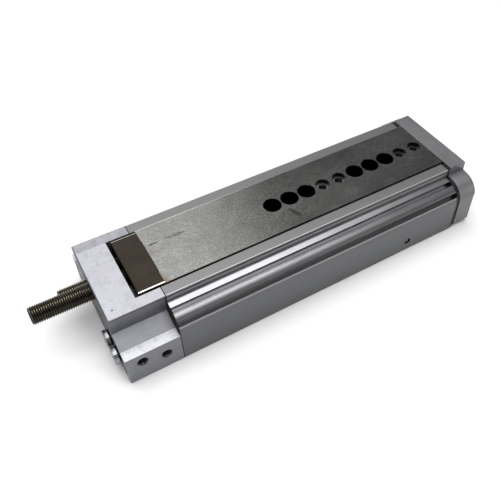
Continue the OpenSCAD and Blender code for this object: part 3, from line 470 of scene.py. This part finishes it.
# The yoke is the same stock, milled across its width: a little darker, and its sides are laid darker still, as
# painted shade.
yoke_metal, tree, shader, place = aluminium("anodised_aluminium_yoke", "#98989a", "#8d8d90", 0.44,
                                            (0.8, 8, 8), 0.004, sheen=0.85)
_, face_y, _ = facing(tree)
sideways = add(tree, "Math", {0: face_y}, operation="ABSOLUTE").outputs[0]
lay(tree, shader, "#666668", 0.7, (sideways, 0.8, 0.95))

# Drawn aluminium strip: cover strips in the sensor slots, greyer than the housing, the lower ones in shade.
strip_metal, tree, shader, place = aluminium("drawn_aluminium_strip", "#706f73", "#636265", 0.46,
                                             (60, 0.4, 0.4), 0.003)
_, _, z = in_mm(tree, place)
lay(tree, shader, "#3c3b3c", 0.75, (z, STRIP_SPLIT + 0.5, STRIP_SPLIT - 0.5))

# Through-hardened steel, surface ground and oiled: short bright grind lines and a faint olive tone.
ground, tree, shader, place = steel("ground_steel", "#aaa9a5", "#92918d", 0.24, (0.9, 0.55, 0.5), 0.014,
                                    cloud_mm=(34, 22, 15), edge_mm=0, spread=0.015)
_, y, z = in_mm(tree, place)
_, _, face_z = facing(tree)
# Grain of the wheel: short pale and dark flecks.
fleck = pattern(tree, place, (0.8, 0.6, 0.6), detail=2.0, roughness=0.7)
lay(tree, shader, "#cfcecb", 0.55, (fleck, 0.52, 0.72))
lay(tree, shader, "#656461", 0.6, (fleck, 0.46, 0.28))
# Soft darker patches, as of dried oil.
dried = pattern(tree, place, (9, 7, 7), detail=5.0, roughness=0.7)
lay(tree, shader, "#74736f", 0.3, (dried, 0.60, 0.40))
# Old scuffs that were rubbed along the travel, and a thumb mark beside the holes.
torn = pattern(tree, place, (1.4, 0.3, 0.3), detail=2.0)
for along, across, length, width, turn in ((15.4, 6.3, 6.5, 0.9, -0.04), (4.2, 6.2, 3.4, 0.8, 0.0),
                                           (72.5, -10.4, 1.3, 5.2, 0.37)):
    mark = blot(tree, place, (SLIDE[0][0] + along, across, SLIDE_TOP), (length, width, 1.0), turn)
    lay(tree, shader, "#34332f", 0.9, (mark, 0.0, 0.5), (torn, 0.35, 0.6))
# The walls and mouths of the holes, and every face that doesn't look up, are laid nearly black: painted shade.
lay(tree, shader, "#121211", 0.97, (face_z, 0.5, 0.2))
lay(tree, shader, "#121211", 0.97, (face_z, 0.98, 0.9), *band(y, 0.0, 10.0, 1.0))
# The centring recesses have pale floors: painted light.
lay(tree, shader, "#d9d8d4", 0.9, (face_z, 0.9, 0.95), (z, SLIDE_TOP - 1.5, SLIDE_TOP - 1.8))
# A painted highlight along the far edge, which also covers the slide's far side, and painted shade along the
# near edge.
lay(tree, shader, "#fbfbf9", 1.0, (y, SLIDE_SIDE - 0.55, SLIDE_SIDE - 0.45))
lay(tree, shader, "#1b1b1b", 0.9, (y, 0.45 - SLIDE_SIDE, 0.35 - SLIDE_SIDE))
# A breath of rust at the rear corner.
rust = blot(tree, place, (SLIDE[0][0], -16.0, SLIDE_TOP), (4.0, 4.0, 2.0))
lay(tree, shader, "#8f7340", 0.6, (rust, 0.0, 1.0), (torn, 0.3, 0.7, 0.2 / 0.6))

# Browned steel, smooth: a dark bronze face that mirrors softly.
browned, tree, shader, place = steel("browned_steel", "#453e37", "#3b342f", 0.22, (8, 0.6, 0.6), 0.001,
                                     edge_mm=0)
_, _, z = in_mm(tree, place)
_, _, face_z = facing(tree)
# Its sides are laid dark, as painted shade, and the upper half of its broken long edges carries a painted
# highlight.
lay(tree, shader, "#131110", 0.95, (face_z, 0.99, 0.96))
lay(tree, shader, "#d8d4cc", 1.0, (face_z, 0.88, 0.9), (face_z, 0.99, 0.96),
    (z, TAIL[1][2] - 0.2, TAIL[1][2] - 0.15))

# Black-oxide thread: nearly black, with a warm tint on each crest: faint all round, as worn oxide, and strong
# where the crests face up, as a painted highlight.
black_oxide, tree, shader, place = steel("black_oxide_steel", "#3d3935", "#302d2a", 0.30, (5, 5, 5), 0.001,
                                         edge_mm=0)
crest = add(tree, "Attribute", attribute_name="crest").outputs["Fac"]
_, _, lifted = facing(tree, "Normal")
lay(tree, shader, "#9a8d79", 0.95, (crest, 0.0, 1.0), (lifted, 0.1, 0.9, 0.2 / 0.95))

# The walls of the tapped holes: cut metal deep in its own shade, so nearly black.
hole_wall, *_ = steel("tapped_hole_wall", "#36373a", "#242527", 0.30, (0.8, 0.8, 0.8), 0.004)

# Nickel-plated brass: bright and smooth, slightly warm.
nickel, *_ = steel("nickel_plated_brass", "#8f9093", "#808184", 0.18, (3, 3, 3), 0.001)

# Hard-chromed or lapped steel: rod, balls, dowels and raceways.
bright, *_ = steel("polished_steel", "#d0d1d3", "#bfc0c3", 0.14, (6, 0.5, 0.5), 0.0006)

# Zinc-plated steel: fasteners, pale with a slight blue cast.
zinc, *_ = steel("zinc_plated_steel", "#b9bdc2", "#a3a7ad", 0.30, (0.9, 0.9, 0.9), 0.003)

# Stamped brass: ball cages, yellow with rolling lines.
brass, *_ = steel("stamped_brass", "#c9a860", "#b39250", 0.28, (5, 0.5, 0.5), 0.002)

# Sintered bronze: the rod's gland bush, dull brown and finely pored.
bronze, *_ = steel("sintered_bronze", "#a8834c", "#8c6a3a", 0.45, (0.7, 0.7, 0.7), 0.006)

# Nitrile rubber: gasket, seals and bumpers, dull black.
nitrile = moulded("nitrile_rubber", "#0f0f10", "#0a0a0b", 0.7, 0.5, 0.008, specular=0.25)

# Cast polyurethane: lip seals, dark green and waxy.
lip_rubber = moulded("polyurethane_seal", "#2d4a34", "#243d2b", 0.5, 0.5, 0.004)

# Moulded polyamide: the front cover, black with an eroded grain.
polyamide = moulded("moulded_polyamide", "#18191b", "#101113", 0.48, 0.7, 0.02)

# Filled bearing tape: the piston's guide ring, tan and matt.
bearing_tape = moulded("filled_bearing_tape", "#a2865c", "#8d744e", 0.5, 0.6, 0.004)

# Bonded magnet: the piston's magnet ring, dark grey with a sandy break.
bonded_magnet = moulded("bonded_magnet", "#34322f", "#292725", 0.5, 0.6, 0.006)

# Each node's finish. The pressed-in ball takes the yoke's duller metal, because bright steel stood out.
FINISH = {
    "housing": extrusion, "end_block": milled, "yoke_plate": yoke_metal,
    "slot_strip_near_upper": strip_metal, "slot_strip_near_lower": strip_metal,
    "slot_strip_far_upper": strip_metal, "slot_strip_far_lower": strip_metal,
    "slide_rail": ground, "tail_plate": browned, "tail_screws": black_oxide,
    "end_block_gasket": nitrile, "port_plug_seals": nitrile, "rear_bumper": nitrile,
    "gland_o_ring": nitrile, "retract_bumper": nitrile, "advance_bumper": nitrile,
    "rod_seal": lip_rubber, "piston_seals": lip_rubber,
    "front_cover": polyamide, "front_cover_screws": black_oxide, "stop_clamp_screws": black_oxide,
    "gland_retaining_ring": black_oxide, "advance_stop_head": black_oxide,
    "advance_stop": black_oxide, "retract_stop": black_oxide, "port_plugs": nickel,
    "end_block_screws": zinc, "yoke_screws": zinc, "rod_screw": zinc, "piston_nut": zinc,
    "rod_screw_washer": bright, "yoke_dowels": bright, "piston_rod": bright, "passage_ball": yoke_metal,
    "balls_near": bright, "balls_far": bright, "raceway_near": bright, "raceway_far": bright,
    "ball_cage_near": brass, "ball_cage_far": brass, "rod_gland": bronze,
    "piston": strip_metal, "piston_guide_ring": bearing_tape, "piston_magnet": bonded_magnet,
}
for node_name, finish in FINISH.items():
    slots = NODES[node_name].data.materials
    slots.clear()
    slots.append(finish)

# ---------------------------------------------------------------- pieces

stop_screw("retract_stop_thread", "retract_stop", "retract_screw", black_oxide,
           thread_end=RETRACT[1][0] - 0.6, shank_r=None)
stop_screw("advance_stop_thread", "advance_stop", "advance_screw", black_oxide,
           thread_end=BLOCK[0][0] + 9.4, shank_r=3.0)

plugs = [blanking_plug("plug_rear_chamber", PLUGS[1][1] - PLUG_R, nickel),
         blanking_plug("plug_front_chamber", PLUGS[0][1] + PLUG_R, nickel)]
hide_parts("port_plugs")

for name in ("rear", "front"):
    x, _, z = MOUNTS[f"{name}_side_port"]
    thread_lining(f"port_thread_{name}", mouth=(x, BLOCK[0][1] + 0.5, z), inward=(0, 1, 0), depth=4.9,
                  body="base", material=hole_wall)
for number in range(1, 5):
    x = MOUNTS[f"slide_thread_{number}"][0]
    thread_lining(f"slide_thread_{number}", mouth=(x, 0, SLIDE_TOP - CENTRING_H), inward=(0, 0, -1),
                  depth=9.0, body="slide", material=hole_wall)
yoke_holes = [(y, z) for y in (-YOKE_THREAD_Y, YOKE_THREAD_Y) for z in YOKE_THREAD_Z]
for number, (y, z) in enumerate(yoke_holes, start=1):
    thread_lining(f"yoke_thread_{number}", mouth=(YOKE[1][0] - 0.5, y, z), inward=(-1, 0, 0), depth=7.3,
                  body="slide", material=hole_wall)

# ---------------------------------------------------------------- floor, lights and camera

def cyclorama(flat_r, bend_r, wall_h, columns=72):
    """A floor that turns up into a low wall all round: a profile of a flat disc, a quarter circle and a
    straight wall, carried once round Z."""
    bend = np.linspace(0, np.pi / 2, 9)
    out = np.concatenate([[0], flat_r + bend_r * np.sin(bend), [flat_r + bend_r]])
    up = np.concatenate([[0], bend_r * (1 - np.cos(bend)), [wall_h]]) - 0.1 * MM
    angle = np.linspace(0, 2 * np.pi, columns, endpoint=False)
    height = np.repeat(up[:, None], columns, axis=1)
    return np.stack([out[:, None] * np.cos(angle), out[:, None] * np.sin(angle), height], axis=-1) / MM


# Matt white card: pale and even, so that the object's shadow reads. Far out it is lit to plain white.
paper = bpy.data.materials.new("matt_white_card")
paper.use_nodes = True
card = paper.node_tree.nodes["Principled BSDF"]
card.inputs["Base Color"].default_value = linear("#fcfcfc")
card.inputs["Roughness"].default_value = 0.9
card.inputs["Specular IOR Level"].default_value = 0.1
tree = paper.node_tree
path = add(tree, "LightPath").outputs
seen = path["Is Camera Ray"]
for ray in ("Is Glossy Ray", "Is Transmission Ray"):
    seen = add(tree, "Math", {0: seen, 1: path[ray]}, operation="MAXIMUM").outputs[0]
spot = add(tree, "TexCoord").outputs["Object"]
away = add(tree, "VectorMath", {0: spot}, operation="LENGTH").outputs["Value"]
glow = add(tree, "Emission", {"Color": linear("#ffffff"), "Strength": 1.0})
far_out = mask(tree, 1.0, (seen, 0.0, 1.0), (away, 1.0, 1.9))
both = add(tree, "MixShader", {0: far_out, 1: card.outputs[0], 2: glow.outputs[0]})
tree.links.new(both.outputs[0], tree.nodes["Material Output"].inputs["Surface"])
floor = grid_mesh("floor", cyclorama(2.6, 0.5, 1.1)[:, ::-1], "base", paper)
shade_smooth(floor, 60)

# A dim room, so that shaded metal isn't black.
world = bpy.data.worlds.new("studio_room")
bpy.context.scene.world = world
world.use_nodes = True
room = world.node_tree.nodes["Background"]
room.inputs["Color"].default_value = linear("#dfe1e6")
room.inputs["Strength"].default_value = 0.17


def softbox(name, place, target, size, watts):
    """An area light of that size in metres, at a place and turned towards a target."""
    lamp = bpy.data.lights.new(name, "AREA")
    lamp.shape = "RECTANGLE"
    lamp.size, lamp.size_y = size
    lamp.energy = watts
    light = bpy.data.objects.new(name, lamp)
    bpy.context.scene.collection.objects.link(light)
    direction = np.array(target, float) - np.array(place, float)
    light.location = place
    light.rotation_euler = Vector(direction.tolist()).to_track_quat("-Z", "Y").to_euler()


softbox("overhead", (-0.04, -0.1, 1.0), (-0.04, -0.1, 0), (1.04, 1.12), 12.2)
softbox("behind", (-0.2, 0.9, 1.0), (-0.1, 0.0, 0), (1.2, 0.7), 2.7)

# A broad soft key from the near side lights the matt things; polished metal shows the softboxes instead.
key_lamp = bpy.data.lights.new("key", "SUN")
key_lamp.energy = 0.4
key_lamp.angle = math.radians(25)
key = bpy.data.objects.new("key", key_lamp)
bpy.context.scene.collection.objects.link(key)
key.rotation_euler = Vector((0.1, -0.62, -0.78)).to_track_quat("-Z", "Y").to_euler()
key.visible_glossy = False

# The camera stands over the near rear corner.
camera_data = bpy.data.cameras.new("camera")
camera = bpy.data.objects.new("camera", camera_data)
bpy.context.scene.collection.objects.link(camera)
camera.location = (-0.1149, -0.1862, 0.2465)
camera.rotation_euler = [math.radians(a) for a in (43.6067, -0.4568, -31.1492)]
# The lens: its focal length and its centre are in units of which the square frame is 500 across.
FRAME_SIDE = 500
FOCAL = 609.7
CENTRE = (282, 226)
camera_data.sensor_width = 36.0
camera_data.lens = FOCAL / FRAME_SIDE * camera_data.sensor_width
camera_data.shift_x = (FRAME_SIDE / 2 - CENTRE[0]) / FRAME_SIDE
camera_data.shift_y = (CENTRE[1] - FRAME_SIDE / 2) / FRAME_SIDE
camera_data.clip_start = 0.01
bpy.context.scene.camera = camera
bpy.context.scene.view_settings.view_transform = "Standard"
